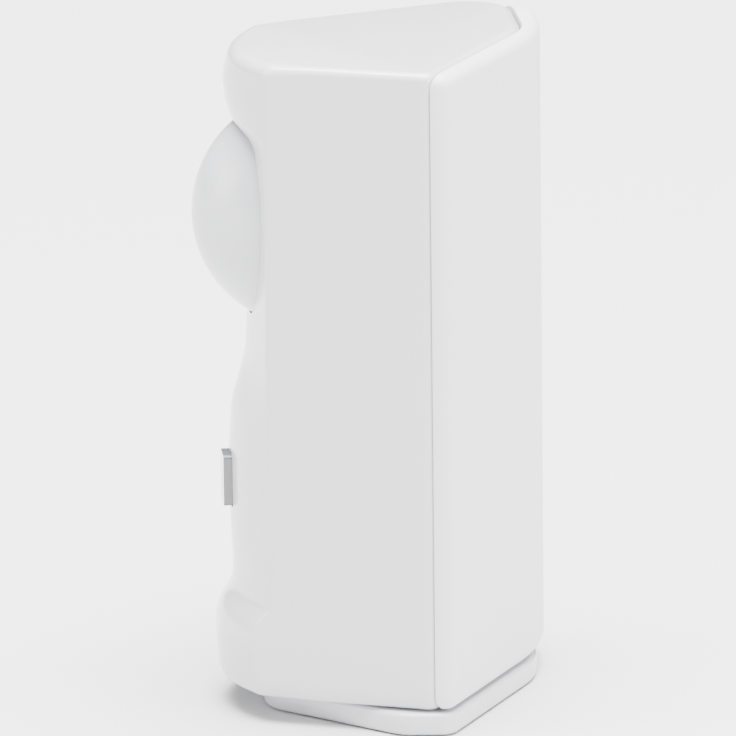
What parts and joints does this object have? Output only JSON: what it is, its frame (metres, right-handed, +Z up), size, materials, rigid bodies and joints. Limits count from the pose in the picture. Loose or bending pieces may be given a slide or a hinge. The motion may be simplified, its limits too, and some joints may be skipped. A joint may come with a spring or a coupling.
{
  "type": "wall-mounted motion detector",
  "caption": "Upright white battery detector with a frosted oval dome lens, a small push button, a flat foot and a slanted pull-off rear cover.",
  "frame": {"origin": "on the flat underside of the foot, below the middle of the front", "axes": "+Z up, -Y out of the front face with the dome, +X towards the side where the slanted rear starts"},
  "size_m": [0.065, 0.0697, 0.13],
  "materials": {
    "housing_white": "gloss, smooth",
    "cover_white": "satin, very fine texture",
    "lens_frosted": "frosted translucent lens with fine facets inside",
    "button_clear": "clear light guide, slightly grey",
    "led_clear": "clear resin",
    "inner_plastic": "moulded, plain",
    "black_plastic": "matte black",
    "chip_black": "moulded chip resin",
    "filter_dark": "polished dark filter window",
    "board_green": "solder mask",
    "tin_can": "tinned steel",
    "spring_metal": "nickel-plated",
    "screw_steel": "zinc-plated",
    "cell_wrap": "printed sleeve, no marks"
  },
  "bodies": {
    "main": {"front_housing": "housing_white", "foot_plate": "housing_white", "foot_screw_1": "screw_steel", "foot_screw_2": "screw_steel", "lens_dome": "lens_frosted", "lens_retainer": "black_plastic", "pir_sensor": "tin_can", "sensor_filter": "filter_dark", "sensor_shroud": "black_plastic", "brightness_sensor": "chip_black", "main_board": "board_green", "radio_module": "tin_can", "controller_chip": "chip_black", "crystal": "tin_can", "buffer_capacitor": "chip_black", "battery_connector": "inner_plastic", "antenna": "spring_metal", "board_screw_1": "screw_steel", "board_screw_2": "screw_steel", "board_screw_3": "screw_steel", "board_screw_4": "screw_steel", "switch_body": "chip_black", "status_led": "led_clear", "button_guide": "inner_plastic", "battery_tray": "inner_plastic", "tray_screw_1": "screw_steel", "tray_screw_2": "screw_steel", "tray_screw_3": "screw_steel", "tray_screw_4": "screw_steel", "battery_1": "cell_wrap", "contact_plate_1": "spring_metal", "contact_spring_1": "spring_metal", "battery_2": "cell_wrap", "contact_plate_2": "spring_metal", "contact_spring_2": "spring_metal", "tamper_switch": "chip_black"},
    "button": {"button_cap": "button_clear", "switch_plunger": "chip_black"},
    "tamper": {"tamper_plunger": "inner_plastic"},
    "cover": {"rear_cover": "cover_white"}
  },
  "joints": [
    {"name": "button_press", "type": "slide", "parent": "main", "child": "button", "axis": [0, 1, 0], "range_m": [0, 0.0006], "stiffness_N_per_m": 2500},
    {"name": "cover_pull", "type": "slide", "parent": "main", "child": "cover", "axis": [0.49, 0.8717, 0], "range_m": [0, 0.03]},
    {"name": "tamper_release", "type": "slide", "parent": "main", "child": "tamper", "axis": [0.49, 0.8717, 0], "range_m": [0, 0.0015]}
  ],
  "couplings": [
    {"joint": "tamper_release", "follows": "cover_pull", "ratio": 0.05}
  ]
}
